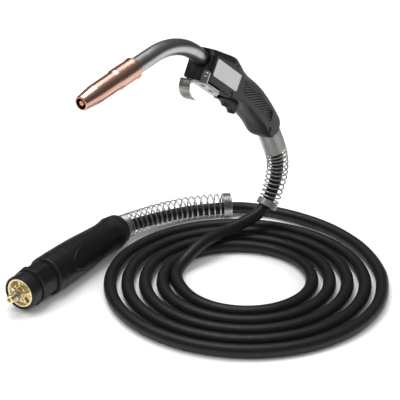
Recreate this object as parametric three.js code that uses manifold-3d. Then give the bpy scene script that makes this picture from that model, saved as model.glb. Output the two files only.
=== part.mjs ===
// A mig welding torch: gooseneck and nozzle, pistol handle with trigger, coiled cable, machine connector.
// Millimetres, +Z up, floor at z = 0. The torch head lies in a plane of constant y and points towards -X.
import * as THREE from "three";
import { mergeVertices } from "three/addons/utils/BufferGeometryUtils.js";
import Module from "manifold-3d";

const wasm = await Module();
wasm.setup();

// ---------- driving dimensions ----------
const GAP = 0.3; // clearance between touching pieces

// puts the origin under the middle of the torch without its cable
const ORIGIN_SHIFT = [-2.664, 2.861, -0.084];

// places of the three main groups, before that shift
const HEAD_PLACE = [5, -80.3, 296]; // where the neck enters the handle
const HANDLE_TILT = 34.5; // degrees, rear end down
const CONNECTOR_PLACE = [-170, 56, 25.5]; // centre of the plug face
const CONNECTOR_YAW = 4.7; // degrees
const CONNECTOR_PITCH = 0.7; // degrees, rear end a little lower
const COIL_CENTRE = [36, -122];

// cable
const CABLE_R = 8;
const CABLE_SIDES = 8;
const SPIRAL_START_R = 173.5; // centreline radius where the outer turn begins
const SPIRAL_START_DEG = -55; // polar angle of that place
const SPIRAL_PITCH = 21.6; // radius lost in one turn
const COIL_SHIFT = [-1.3, -7.5]; // middle of the outer four turns, seen from the spiral's centre
const COIL_OUTER_R = 173.5;
const COIL_INNER_R = 101;

// gooseneck
const NECK_R = 9.4;
const NECK_WALL = 1.3;
const CONDUCTOR_R = 6;
const CONDUCTOR_BORE_R = 2.4;
const LINER_R = 1.9;
const LINER_BORE_R = 0.9;
const NECK_BEND_R = 110;
const NECK_BEND = 44; // degrees
const NECK_REAR_X = 26; // end of the conductor inside the handle
const NECK_FRONT_STRAIGHT = 33;
const NECK_BEND_X = -10.4; // where the bend starts, in front of the handle

// nozzle, measured forwards from its rear rim
const NOZZLE_LENGTH = 88;
const NOZZLE_R = 11.5;
const NOZZLE_STEP_R = 10.6;
const NOZZLE_TIP_R = 7.8;
const NOZZLE_BORE_R = 6.2;
const NOZZLE_WIDE_BORE_R = 10;

// handle
const HANDLE_HALF = 18; // half of its thickness
const HANDLE_EDGE = 5; // rounding of the side edges
const HANDLE_WALL = 3;
const REAR_AXIS = [199, -25]; // centre of the rear mouth, x and z
const REAR_AXIS_DEG = 25.5; // how far the rear mouth turns below the handle's own x axis
const LABEL = { x0: 10.5, x1: 69.5, z0: -16.2, z1: 4.3, thick: 0.8 };
const TRIGGER_PIVOT = [72, -18.5];
const TRIGGER_HALF = 4.75;
const SCREW_R = 2.6;
const COLLAR_BORE_R = 9.3; // rubber collar round the cable in the rear mouth

// spring guards
const FRONT_SPRING_R = 13.6; // centreline radius of the wire's helix
const REAR_SPRING_R = 15.6;
const WIRE_R = 0.9;
const STEPS_PER_TURN = 6; // of the open coils

const DEG = Math.PI / 180;

// ---------- materials ----------
const paint = (color, roughness, metalness) =>
  new THREE.MeshStandardMaterial({ color, roughness, metalness });
const COPPER = paint(0xc98a72, 0.25, 1);
const RED_COPPER = paint(0xb4694d, 0.35, 1);
const BRASS = paint(0xd9bd72, 0.25, 1);
const STEEL = paint(0x8c8b88, 0.35, 1);
const BRIGHT_STEEL = paint(0xb9b8b4, 0.25, 1);
const BLACK_PLASTIC = paint(0x232323, 0.6, 0);
const BLACK_RUBBER = paint(0x1c1c1c, 0.7, 0);
const LABEL_PLATE = paint(0xc9ccca, 0.4, 0.2);
const PHENOLIC = paint(0x3a2a20, 0.6, 0);
const GREY_PLASTIC = paint(0x55585a, 0.5, 0);

// ---------- helpers ----------
function toSolid(geometry) {
  const plain = geometry.index ? geometry.toNonIndexed() : geometry.clone();
  plain.deleteAttribute("normal");
  plain.deleteAttribute("uv");
  const merged = mergeVertices(plain, 1e-4);
  return new wasm.Manifold(
    new wasm.Mesh({
      numProp: 3,
      vertProperties: new Float32Array(merged.attributes.position.array),
      triVerts: new Uint32Array(merged.index.array),
    }),
  );
}

function toGeometry(solid) {
  const made = solid.getMesh();
  const geometry = new THREE.BufferGeometry();
  geometry.setAttribute("position", new THREE.BufferAttribute(new Float32Array(made.vertProperties), 3));
  geometry.setIndex(new THREE.BufferAttribute(new Uint32Array(made.triVerts), 1));
  geometry.computeVertexNormals();
  return geometry;
}

function addPiece(parent, name, shape, material) {
  const geometry = shape.isBufferGeometry ? shape : toGeometry(shape);
  const mesh = new THREE.Mesh(geometry, material);
  mesh.name = name;
  parent.add(mesh);
  return mesh;
}

// A turned piece about the x axis. The profile is a list of [x, radius], x rising along the outside.
function turned(profile, segments = 24) {
  const points = profile.map(([x, r]) => new THREE.Vector2(r, x));
  const geometry = new THREE.LatheGeometry(points, segments);
  geometry.rotateZ(-Math.PI / 2);
  return geometry;
}

// A turned tube: the outside profile, then the bore profile from rear to front.
function turnedTube(outside, bore, segments = 24) {
  const back = [...bore].reverse();
  return turned([...outside, ...back, outside[0]], segments);
}

function polygonPath(radius, sides, PathClass) {
  const corners = [];
  for (let i = 0; i < sides; i += 1) {
    const a = ((i + 0.5) / sides) * 2 * Math.PI;
    corners.push(new THREE.Vector2(radius * Math.cos(a), radius * Math.sin(a)));
  }
  return new PathClass(corners);
}

// A round bar or pipe along a curve.
function piped(curve, radius, boreRadius, sides, steps) {
  const section = polygonPath(radius, sides, THREE.Shape);
  if (boreRadius > 0) section.holes.push(polygonPath(boreRadius, sides, THREE.Path));
  return new THREE.ExtrudeGeometry(section, { extrudePath: curve, steps, curveSegments: 1 });
}

// An outline in x and z, extruded to both sides of the plane y = 0.
function sideways(outline, half, edge = 0, centreY = 0) {
  const shape = new THREE.Shape(outline.map(([x, z]) => new THREE.Vector2(x, z)));
  const bevel = edge > 0;
  const geometry = new THREE.ExtrudeGeometry(shape, {
    depth: 2 * (half - edge),
    bevelEnabled: bevel,
    bevelThickness: edge,
    bevelSize: edge,
    bevelOffset: -edge,
    bevelSegments: 2,
    curveSegments: 6,
  });
  geometry.translate(0, 0, -(half - edge));
  geometry.rotateX(Math.PI / 2);
  geometry.translate(0, centreY, 0);
  return geometry;
}

function box(x0, x1, y0, y1, z0, z1) {
  const geometry = new THREE.BoxGeometry(x1 - x0, y1 - y0, z1 - z0);
  geometry.translate((x0 + x1) / 2, (y0 + y1) / 2, (z0 + z1) / 2);
  return geometry;
}

// A round bar with its axis along y.
function crossBar(x, z, radius, y0, y1, sides = 16) {
  const geometry = new THREE.CylinderGeometry(radius, radius, y1 - y0, sides);
  geometry.translate(x, (y0 + y1) / 2, z);
  return geometry;
}

// Points of a smooth open curve through the given [x, z] pairs.
function smoothLine(pairs, count) {
  const curve = new THREE.SplineCurve(pairs.map(([x, z]) => new THREE.Vector2(x, z)));
  return curve.getPoints(count).map((p) => [p.x, p.y]);
}

// ---------- gooseneck ----------
function neckPoint(angle) {
  const a = angle * DEG;
  return new THREE.Vector3(NECK_BEND_X - NECK_BEND_R * Math.sin(a), 0, -NECK_BEND_R * (1 - Math.cos(a)));
}

// The neck's centre line, from inside the handle to a little inside the nozzle.
function neckCurve(rearX, frontStraight) {
  const curve = new THREE.CurvePath();
  const bend = [];
  const bendSteps = 12;
  for (let i = 0; i <= bendSteps; i += 1) bend.push(neckPoint((NECK_BEND * i) / bendSteps));
  const direction = new THREE.Vector3(-Math.cos(NECK_BEND * DEG), 0, -Math.sin(NECK_BEND * DEG));
  const front = bend.at(-1).clone().addScaledVector(direction, frontStraight);
  curve.add(new THREE.LineCurve3(new THREE.Vector3(rearX, 0, 0), bend[0]));
  curve.add(new THREE.CatmullRomCurve3(bend));
  curve.add(new THREE.LineCurve3(bend.at(-1), front));
  return new THREE.CatmullRomCurve3(curve.getSpacedPoints(24));
}

function addNeck(head) {
  const jacket = neckCurve(11.5, NECK_FRONT_STRAIGHT + 5);
  addPiece(head, "neck_jacket", piped(jacket, NECK_R, NECK_R - NECK_WALL, 16, 13), STEEL);
  const conductor = neckCurve(NECK_REAR_X, NECK_FRONT_STRAIGHT + 15);
  addPiece(head, "neck_conductor", piped(conductor, CONDUCTOR_R, CONDUCTOR_BORE_R, 8, 13), RED_COPPER);
  const liner = neckCurve(NECK_REAR_X + 12, NECK_FRONT_STRAIGHT + 40);
  addPiece(head, "wire_liner", piped(liner, LINER_R, LINER_BORE_R, 6, 14), STEEL);
}

// ---------- nozzle, insulator, diffuser and contact tip ----------
function addNozzle(barrel) {
  const outside = [
    [0, 11.2], [0.6, 12.1], [2.6, 12.1], [3.2, NOZZLE_R], [32, NOZZLE_R + 0.1],
    [36, NOZZLE_STEP_R], [64, NOZZLE_STEP_R - 0.1], [NOZZLE_LENGTH - 0.8, NOZZLE_TIP_R], [NOZZLE_LENGTH, 7.3],
  ];
  const bore = [
    [0, NOZZLE_WIDE_BORE_R], [34, NOZZLE_WIDE_BORE_R], [60, 9],
    [NOZZLE_LENGTH - 8, NOZZLE_BORE_R], [NOZZLE_LENGTH, NOZZLE_BORE_R],
  ];
  addPiece(barrel, "nozzle", turnedTube(outside, bore, 24), COPPER);
}

function addTipAssembly(barrel) {
  const insulator = turnedTube([[8, 9.6], [32, 9.6]], [[8, 7.1], [32, 7.1]], 24);
  addPiece(barrel, "nozzle_insulator", insulator, PHENOLIC);
  const diffuser = turnedTube(
    [[6, 6.8], [34, 6.8], [35, 5.6], [52, 5.6], [54, 4.9]],
    [[6, CONDUCTOR_R + GAP], [15.5, CONDUCTOR_R + GAP], [15.5, 2.4], [42, 2.4], [42, 2.9], [54, 2.9]],
    16,
  );
  const holes = [0, 1, 2, 3].map((i) => {
    const hole = new THREE.CylinderGeometry(1.1, 1.1, 16, 6);
    hole.rotateX((i * Math.PI) / 4);
    hole.translate(38.5, 0, 0);
    return toSolid(hole);
  });
  const drilled = holes.reduce((body, hole) => body.subtract(hole), toSolid(diffuser));
  addPiece(barrel, "gas_diffuser", drilled, BRASS);
  const tip = turnedTube(
    [[43, 2.6], [54.3, 2.6], [54.3, 4], [76, 4], [NOZZLE_LENGTH - 3, 3], [NOZZLE_LENGTH - 1, 2.6]],
    [[43, 1.2], [60, 0.6], [NOZZLE_LENGTH - 1, 0.6]],
    16,
  );
  addPiece(barrel, "contact_tip", tip, RED_COPPER);
}

// ---------- handle ----------
const HANDLE_TOP = [
  [56, 20.3], [64, 20], [72, 18.6], [84, 15.6], [98, 13.2], [112, 12.4], [126, 11.8], [142, 9.9],
  [158, 6.9], [175, 2.8], [190, -1.4], [203, -6],
];
const HANDLE_UNDER = [
  [184, -39.8], [172, -36], [155, -31.4], [134, -27.2], [118, -24.4], [105, -23], [92, -22.6],
  [80, -23.6], [68, -25.6],
];

function handleOutline() {
  const top = smoothLine(HANDLE_TOP, 20);
  const under = smoothLine(HANDLE_UNDER, 14);
  return [[5, -27], [3, 12], [50, 19.8], ...top, [207, -9.5], [192, -41], ...under, [58, -27]];
}

function handleCavity() {
  const top = smoothLine([[56, 17], [70, 15], [89, 11], [122, 8.4], [150, 5], [180, -2]], 12);
  const under = smoothLine([[181, -34.5], [155, -27.4], [118, -20.6], [92, -19], [68, -22]], 8);
  return [[9, -23.5], [8, 9], [50, 16.5], ...top, [190, -6], ...under, [58, -23.5]];
}

// A turned shape whose own x axis becomes the rear mouth's axis, with its zero at the mouth.
function atRearMouth(geometry) {
  geometry.rotateY(REAR_AXIS_DEG * DEG);
  geometry.translate(REAR_AXIS[0], 0, REAR_AXIS[1]);
  return geometry;
}

const HANDLE_SCREWS = [[55, 13], [62.4, -22.6], [176, -31.8]];

// The grip recess on the side, a leaf.
const GRIP_LEAF = [
  [82.5, 2.4], [110, 2.2], [140, -2], [167, -8.5], [171, -15.5], [171, -23], [164, -22.5], [140, -18],
  [112, -14.5], [86.5, -13], [80, -4],
];

function handleSolid() {
  let body = toSolid(sideways(handleOutline(), HANDLE_HALF, HANDLE_EDGE));
  body = body.subtract(toSolid(sideways(handleCavity(), HANDLE_HALF - HANDLE_WALL)));
  const neckHole = turned([[-2, 0], [-2, 13], [7, 13], [7, NECK_R + GAP], [11, NECK_R + GAP], [11, 0]], 24);
  body = body.subtract(toSolid(neckHole));
  const mouth = atRearMouth(turned([[-18, 0], [-18, 14.9], [14, 14.9], [14, 0]], 24));
  body = body.subtract(toSolid(mouth));
  const slot = box(66.8, 108.4, -TRIGGER_HALF - 0.7, TRIGGER_HALF + 0.7, -45, -14);
  body = body.subtract(toSolid(slot));
  for (const side of [-1, 1]) {
    const recess = sideways(GRIP_LEAF, 1, 0, side * (HANDLE_HALF + 0.2));
    body = body.subtract(toSolid(recess));
  }
  for (const [x, z] of HANDLE_SCREWS) {
    body = body.subtract(toSolid(crossBar(x, z, 1.5 + GAP, -HANDLE_HALF, HANDLE_HALF - 4, 12)));
    body = body.subtract(toSolid(crossBar(x, z, 4.2, -HANDLE_HALF - 1, -HANDLE_HALF + 4, 16)));
  }
  const pin = crossBar(TRIGGER_PIVOT[0], TRIGGER_PIVOT[1], 1.5 + GAP, -HANDLE_HALF + 2, HANDLE_HALF - 2, 12);
  return body.subtract(toSolid(pin));
}

function addHandle(head) {
  const whole = handleSolid();
  const seam = GAP / 2;
  const farSide = toSolid(box(-20, 260, seam, 40, -80, 60));
  const nearSide = toSolid(box(-20, 260, -40, -seam, -80, 60));
  addPiece(head, "handle_right", whole.intersect(farSide), BLACK_PLASTIC);
  addPiece(head, "handle_left", whole.intersect(nearSide), BLACK_PLASTIC);
  HANDLE_SCREWS.forEach(([x, z], i) => {
    const screw = turned([[0, 0], [0, SCREW_R], [2, SCREW_R], [2, 1.5], [29, 1.5], [30, 1], [30, 0]], 12);
    screw.rotateZ(Math.PI / 2);
    screw.translate(x, -HANDLE_HALF + 1.7, z);
    addPiece(head, `handle_screw_${i + 1}`, screw, STEEL);
  });
  const y = -HANDLE_HALF - GAP;
  addPiece(head, "side_plate", box(LABEL.x0, LABEL.x1, y - LABEL.thick, y, LABEL.z0, LABEL.z1), LABEL_PLATE);
  const collarBore = [[-12, COLLAR_BORE_R], [3, COLLAR_BORE_R]];
  const collar = atRearMouth(turnedTube([[-12, 14.6], [3, 14.6]], collarBore, 24));
  addPiece(head, "rear_collar", collar, BLACK_RUBBER);
}

// ---------- current block, trigger and switch inside the handle ----------
const CRIMP_Z = -3;
const CRIMP_END_X = 104.7;

function addCurrentPath(head) {
  const block = toSolid(box(12, 52, -10, 10, -9.5, 9.5));
  const boreR = CONDUCTOR_R + GAP;
  const boreEnd = NECK_REAR_X + GAP;
  const bore = turned([[11, 0], [11, boreR], [boreEnd, boreR], [boreEnd, 2.4], [53, 2.4], [53, 0]], 16);
  addPiece(head, "neck_clamp_block", block.subtract(toSolid(bore)), BRASS);
  const crimpOutside = [[52.3, 7], [60, 7], [61, 6.4], [CRIMP_END_X, 6.4]];
  const crimp = turnedTube(crimpOutside, [[52.3, 2.4], [CRIMP_END_X, 2.4]], 16);
  crimp.translate(0, 0, CRIMP_Z);
  addPiece(head, "cable_crimp", crimp, RED_COPPER);
}

const TRIGGER_TOP = -21.3;

function triggerOutline() {
  const heel = [[106, TRIGGER_TOP], [106.3, -30.5], [104.8, -36.3], [103.6, -36.4]];
  const rearScallop = smoothLine([[102, -35.3], [98.6, -33.4], [93.5, -32.2], [88.5, -32.3]], 6);
  const frontScallop = smoothLine([[85, -32.8], [80.5, -30.5], [75, -29.1], [69.5, -29.2]], 6);
  const nose = [[64.8, -30.3], [62.4, -29.8], [62, -27.6], [68.2, -27.3]];
  const ear = [[68.2, -18.5], [69.4, -15.7], [72, -14.6], [74.6, -15.7], [75.8, -18.5]];
  return [...heel, ...rearScallop, [86.6, -33.2], ...frontScallop, ...nose, ...ear, [77, TRIGGER_TOP]];
}

function addTrigger(head) {
  const [px, pz] = TRIGGER_PIVOT;
  let lever = toSolid(sideways(triggerOutline(), TRIGGER_HALF, 0.8));
  lever = lever.subtract(toSolid(crossBar(px, pz, 1.5 + GAP, -TRIGGER_HALF - 1, TRIGGER_HALF + 1, 12)));
  addPiece(head, "trigger", lever, BLACK_PLASTIC);
  addPiece(head, "trigger_pin", crossBar(px, pz, 1.5, -HANDLE_HALF + 2.5, HANDLE_HALF - 2.5, 12), STEEL);
  const shelf = HANDLE_HALF - HANDLE_WALL - GAP;
  addPiece(head, "switch_bracket", box(78, 112, -shelf, shelf, -12.6, -11.4), GREY_PLASTIC);
  const pocket = toSolid(box(83.7, 88.3, -1.9, 1.9, -20, -14.6));
  const body = toSolid(box(80, 92, -3.2, 3.2, -18, -12.9));
  addPiece(head, "switch_body", body.subtract(pocket), BLACK_PLASTIC);
  addPiece(head, "switch_plunger", box(84, 88, -1.6, 1.6, TRIGGER_TOP + GAP, -16.9), GREY_PLASTIC);
  const turns = 5;
  const stepsPerTurn = 6;
  const coil = [];
  for (let i = 0; i <= turns * stepsPerTurn; i += 1) {
    const a = (i / stepsPerTurn) * 2 * Math.PI;
    const z = TRIGGER_TOP + 0.9 + (6.8 * i) / (turns * stepsPerTurn);
    coil.push(new THREE.Vector3(99 + 2.4 * Math.cos(a), 2.4 * Math.sin(a), z));
  }
  const spring = piped(new THREE.CatmullRomCurve3(coil), 0.4, 0, 4, turns * stepsPerTurn);
  addPiece(head, "trigger_spring", spring, BRIGHT_STEEL);
}

// ---------- hanging hook ----------
const PLATE_TOP = -27 - GAP;
const PLATE_THICK = 2;
const PLATE_FRONT = 1.7;
const PLATE_REAR = 60;
const EAR = { y0: -19.5, y1: -10, top: -12.5, screwY: -15.5, screwZ: -19 };

function addHook(head) {
  const back = PLATE_FRONT + PLATE_THICK;
  const bottom = PLATE_TOP - PLATE_THICK;
  let bracket = toSolid(box(PLATE_FRONT, PLATE_REAR, -18, 5, bottom, PLATE_TOP));
  bracket = bracket.add(toSolid(box(5.5, 16, -1, 19, bottom, PLATE_TOP)));
  const earMiddle = (EAR.y0 + EAR.y1) / 2;
  const earHalf = (EAR.y1 - EAR.y0) / 2;
  const ear = toSolid(box(PLATE_FRONT, back, EAR.y0, EAR.y1, bottom, EAR.top - earHalf));
  const earTop = new THREE.CylinderGeometry(earHalf, earHalf, PLATE_THICK, 16);
  earTop.rotateZ(Math.PI / 2);
  earTop.translate(PLATE_FRONT + PLATE_THICK / 2, earMiddle, EAR.top - earHalf);
  bracket = bracket.add(ear).add(toSolid(earTop));
  const outer = smoothLine([[5.5, -29], [6.2, -34], [9, -40], [15, -44], [22, -45.8], [28, -46.2]], 14);
  const innerPoints = [[28, -44.2], [22, -43.8], [16, -42.1], [10.9, -38.9], [8.3, -33.6], [7.6, -28.5]];
  const inner = smoothLine(innerPoints, 14);
  bracket = bracket.add(toSolid(sideways([...outer, ...inner], 7, 0, 12)));
  for (const x of [17, 36]) {
    const hole = new THREE.CylinderGeometry(3.2, 3.2, 6, 16);
    hole.rotateX(Math.PI / 2);
    hole.translate(x, -6, bottom);
    bracket = bracket.subtract(toSolid(hole));
  }
  addPiece(head, "hanging_hook", bracket, BRIGHT_STEEL);
  const screw = turned([[0, 0], [0.9, 2.4], [1.8, 3.4], [2.1, 3.4], [2.1, 0]], 16);
  screw.translate(PLATE_FRONT - 2.1 - GAP, EAR.screwY, EAR.screwZ);
  addPiece(head, "hook_screw", screw, STEEL);
}

// ---------- cable ----------
// Centre line of the outer tail, from inside the connector to the side of the coil.
const TAIL_ROUTE = [
  [16, 71.3, 23.2], [36, 72.9, 22.6], [56, 72, 20], [78, 68.5, 17.2], [103.2, 62.8, 14.8],
  [127, 55, 13], [148.5, 45.2, 12], [166.6, 32.6, 11.6], [182.6, 18.5, 11.4], [199.5, 2, 11.2],
  [212, -11.5, 9.8], [220.5, -28, 8.6], [226, -46, 8], [229, -66, 8], [230, -88, 8],
  [229, -110, 8], [224.5, -138, 8], [217, -162, 8],
];
// Centre line of the rise, from the floor inside the coil up to the crimp in the handle.
const RISE_ROUTE = [
  [-5.6, -51.5, 8], [21.2, -38.6, 8.6], [40.6, -40, 17], [59, -42, 22.8], [74, -44, 25],
  [88, -46, 25.2], [104, -48, 25.4], [119, -53, 27.4], [136, -61, 31.5], [152, -68, 35.8],
  [166, -70.8, 43], [176.3, -73, 54.5], [182.6, -75.3, 68.5], [185.6, -77.5, 84], [185.3, -79.2, 99.5],
  [181, -80, 116], [172.5, -80.3, 132.1], [163, -80.3, 148.5], [154.8, -80.3, 162.7],
  [144.9, -80.3, 179.9], [129, -80.3, 202.9], [110.3, -80.3, 219.6], [89.8, -80.3, 234.1],
];

// A point of the flat spiral after the given number of clockwise turns.
function spiralPoint(turns) {
  const a = (SPIRAL_START_DEG - 360 * turns) * DEG;
  const r = SPIRAL_START_R - SPIRAL_PITCH * turns;
  return [COIL_CENTRE[0] + r * Math.cos(a), COIL_CENTRE[1] + r * Math.sin(a), CABLE_R];
}

const curveThrough = (points) => new THREE.CatmullRomCurve3(points.map((p) => new THREE.Vector3(...p)));

function addCable(torch) {
  const ring = new THREE.LatheGeometry(
    [
      [COIL_INNER_R, 0], [COIL_OUTER_R, 0], [COIL_OUTER_R, 2 * CABLE_R],
      [COIL_INNER_R, 2 * CABLE_R], [COIL_INNER_R, 0],
    ]
      .map(([r, z]) => new THREE.Vector2(r, z)),
    48,
  );
  ring.rotateX(Math.PI / 2);
  ring.translate(COIL_CENTRE[0] + COIL_SHIFT[0], COIL_CENTRE[1] + COIL_SHIFT[1], 0);
  addPiece(torch, "cable_coil", ring, BLACK_RUBBER);
  const tail = curveThrough(TAIL_ROUTE);
  addPiece(torch, "cable_to_connector", piped(tail, CABLE_R, 0, CABLE_SIDES, 18), BLACK_RUBBER);
  const innerTurn = [3.875, 3.95, 4.03, 4.12, 4.2, 4.28, 4.36, 4.43].map(spiralPoint);
  const rise = curveThrough([...innerTurn, ...RISE_ROUTE]);
  addPiece(torch, "cable_to_handle", piped(rise, CABLE_R, 0, CABLE_SIDES, 60), BLACK_RUBBER);
}

// ---------- spring guards ----------
const partOf = (curve, from, to, count) => {
  const points = [];
  for (let i = 0; i <= count; i += 1) points.push(curve.getPointAt(from + ((to - from) * i) / count));
  return new THREE.CatmullRomCurve3(points);
};

// A helix of wire round part of a curve; the pitch widens towards the far end.
function helixRound(curve, from, to, radius, turns, reference) {
  const points = [];
  const steps = turns * STEPS_PER_TURN;
  for (let i = 0; i <= steps; i += 1) {
    const share = i / steps;
    const u = from + (to - from) * share ** 1.15;
    const tangent = curve.getTangentAt(u);
    const side = new THREE.Vector3().crossVectors(reference, tangent).normalize();
    const up = new THREE.Vector3().crossVectors(tangent, side);
    const a = share * turns * 2 * Math.PI;
    const point = curve.getPointAt(u);
    point.addScaledVector(side, radius * Math.cos(a)).addScaledVector(up, radius * Math.sin(a));
    points.push(point);
  }
  return piped(new THREE.CatmullRomCurve3(points), WIRE_R, 0, 4, steps);
}

// A spring guard: closed coils at both ends, open coils between them.
function springGuard(curve, radius, closed, turns, reference) {
  const [first, last] = closed;
  const outer = radius + WIRE_R;
  const inner = radius - WIRE_R;
  const sleeve = piped(partOf(curve, 0, first, 6), outer, inner, 16, 5);
  const ring = piped(partOf(curve, last, 1, 2), outer, inner, 16, 2);
  const open = helixRound(curve, first - 0.01, last + 0.01, radius, turns, reference);
  return toSolid(sleeve).add(toSolid(open)).add(toSolid(ring));
}

const FRONT_SPRING_ROUTE = [
  [156.6, -80.3, 159.6], [163, -80.3, 148.5], [172.5, -80.3, 132.1], [181, -80, 116], [185.3, -79.2, 99.5],
  [185.6, -77.5, 84], [182.8, -75.3, 68.4], [177.8, -73.2, 54], [171, -71.3, 43.3],
];
const REAR_SPRING_ROUTE = [
  [28, 72.3, 23.1], [38, 72.9, 22.8], [56, 72, 21.2], [78, 68.5, 19.6], [103.2, 62.8, 18.3],
  [127, 55, 17.2], [148.5, 45.2, 16.6], [166.6, 32.6, 16.5], [182.6, 18.5, 16.5], [198, 2, 16.5],
];

function addSprings(torch) {
  const across = new THREE.Vector3(0, 1, 0);
  const upwards = new THREE.Vector3(0, 0, 1);
  const front = springGuard(curveThrough(FRONT_SPRING_ROUTE), FRONT_SPRING_R, [0.38, 0.93], 12, across);
  addPiece(torch, "handle_spring_guard", front, STEEL);
  const rear = springGuard(curveThrough(REAR_SPRING_ROUTE), REAR_SPRING_R, [0.1, 0.96], 18, upwards);
  addPiece(torch, "connector_spring_guard", rear, STEEL);
}

// ---------- machine connector, x from the plug face towards the cable ----------
const NUT_LOBES = 8;
const PLUG_R = 18.5;
const STEM_R = 14;
const CONTROL_PINS = [[9.5, 8.5], [-9.5, 8.5]];

function addPlug(connector) {
  const ring = turnedTube([[-2, 20.3], [-1, 21], [15, 21]], [[-2, PLUG_R + GAP], [15, PLUG_R + GAP]], 32);
  addPiece(connector, "plug_ring", ring, BLACK_PLASTIC);
  const profile = [
    [1.5, 0], [1.5, 8], [0, 8.6], [0, 13], [1.2, 13.6], [1.2, 16], [0, 16.5], [0, PLUG_R],
    [16, PLUG_R], [16, STEM_R], [62, STEM_R], [62, 0],
  ];
  let body = toSolid(turned(profile, 24));
  const well = turned([[-1, 0], [-1, 5.3], [30, 5.3], [30, 0]], 16);
  body = body.subtract(toSolid(well));
  for (const [y, z] of CONTROL_PINS) {
    const hole = turned([[-1, 0], [-1, 1.9], [26, 1.9], [26, 0]], 12);
    hole.translate(0, y, z);
    body = body.subtract(toSolid(hole));
  }
  addPiece(connector, "plug_body", body, BRASS);
  const pin = turnedTube(
    [[-21, 2.6], [-19, 4.1], [-14, 4.6], [-8, 4.6], [-7.4, 4.1], [-5.6, 4.1], [-5, 5], [29.5, 5]],
    [[-21, 1.4], [29.5, 1.4]],
    20,
  );
  addPiece(connector, "wire_guide_pin", pin, STEEL);
  CONTROL_PINS.forEach(([y, z], i) => {
    const contact = turned([[-7, 0], [-6.2, 1], [-5, 1.6], [18, 1.6], [18, 0]], 12);
    contact.translate(0, y, z);
    addPiece(connector, `control_pin_${i + 1}`, contact, BRASS);
  });
}

function addUnionNut(connector) {
  const shape = new THREE.Shape();
  const steps = NUT_LOBES * 6;
  for (let i = 0; i < steps; i += 1) {
    const a = (i / steps) * 2 * Math.PI;
    const r = 23.8 + 0.7 * Math.cos(NUT_LOBES * a);
    if (i === 0) shape.moveTo(r, 0);
    else shape.lineTo(r * Math.cos(a), r * Math.sin(a));
  }
  const blank = new THREE.ExtrudeGeometry(shape, { depth: 30, bevelEnabled: false });
  blank.rotateY(Math.PI / 2);
  blank.translate(18, 0, 0);
  const bore = turned(
    [[17, 0], [17, 20.6], [43, 20.6], [43, STEM_R + GAP], [49, STEM_R + GAP], [49, 0]],
    32,
  );
  addPiece(connector, "union_nut", toSolid(blank).subtract(toSolid(bore)), BLACK_PLASTIC);
}

const COLLAR_X = 186;
const HOUSING = [
  [48.5, 23.6], [49.5, 24.6], [60, 24.7], [61, 23.9], [63, 23.9], [64, 24.6], [100, 24.1], [130, 23.5],
  [160, 22.6], [176, 21.4], [COLLAR_X, 20.6],
];

function addHousing(connector) {
  const inside = [[48.5, STEM_R + GAP], [58, STEM_R + GAP], [58, 21], [150, 21], [178, 18], [COLLAR_X, 17.5]];
  const whole = toSolid(turnedTube(HOUSING, inside, 32));
  const seam = GAP / 2;
  const left = toSolid(box(40, 200, -40, -seam, -40, 40));
  const right = toSolid(box(40, 200, seam, 40, -40, 40));
  let near = whole.intersect(left);
  const hole = crossBar(83, 0, 1.8, -30, -10, 12);
  near = near.subtract(toSolid(hole)).subtract(toSolid(crossBar(83, 0, 3.6, -30, -22.5, 16)));
  addPiece(connector, "connector_shell_left", near, BLACK_PLASTIC);
  addPiece(connector, "connector_shell_right", whole.intersect(right), BLACK_PLASTIC);
  const screw = turned([[0, 0], [0, 3.2], [1.4, 3.2], [1.4, 1.5], [12, 1.5], [12, 0]], 12);
  screw.rotateZ(Math.PI / 2);
  screw.translate(83, -24.2, 0);
  addPiece(connector, "shell_screw", screw, STEEL);
  const collar = turnedTube(
    [[COLLAR_X + GAP, 20.6], [196, 22], [202, 21.6], [206, 19.8]],
    [[COLLAR_X + GAP, REAR_SPRING_R + 1.9], [206, REAR_SPRING_R + 1.9]],
    32,
  );
  addPiece(connector, "connector_rear_collar", collar, BLACK_RUBBER);
  const stem = turnedTube([[62 + GAP, 9], [80, 9], [82, 7.5], [185, 7.5]], [[62 + GAP, 2], [185, 2]], 16);
  addPiece(connector, "cable_stem", stem, BRASS);
}

// ---------- the whole torch ----------
const torch = new THREE.Group();
torch.position.set(...ORIGIN_SHIFT);

const head = new THREE.Group();
head.position.set(...HEAD_PLACE);
head.rotation.y = HANDLE_TILT * DEG;
torch.add(head);
addHandle(head);
addNeck(head);
addCurrentPath(head);
addTrigger(head);
addHook(head);

const barrel = new THREE.Group();
const barrelEnd = neckPoint(NECK_BEND);
barrel.rotation.y = (180 - NECK_BEND) * DEG;
barrel.position.set(
  barrelEnd.x - NECK_FRONT_STRAIGHT * Math.cos(NECK_BEND * DEG),
  0,
  barrelEnd.z - NECK_FRONT_STRAIGHT * Math.sin(NECK_BEND * DEG),
);
head.add(barrel);
addNozzle(barrel);
addTipAssembly(barrel);

const connector = new THREE.Group();
connector.position.set(...CONNECTOR_PLACE);
connector.rotation.set(0, CONNECTOR_PITCH * DEG, CONNECTOR_YAW * DEG, "ZYX");
torch.add(connector);
addPlug(connector);
addUnionNut(connector);
addHousing(connector);

addCable(torch);
addSprings(torch);

export default torch;
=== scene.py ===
import math

import bmesh
import bpy
from mathutils import Matrix, Vector


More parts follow.
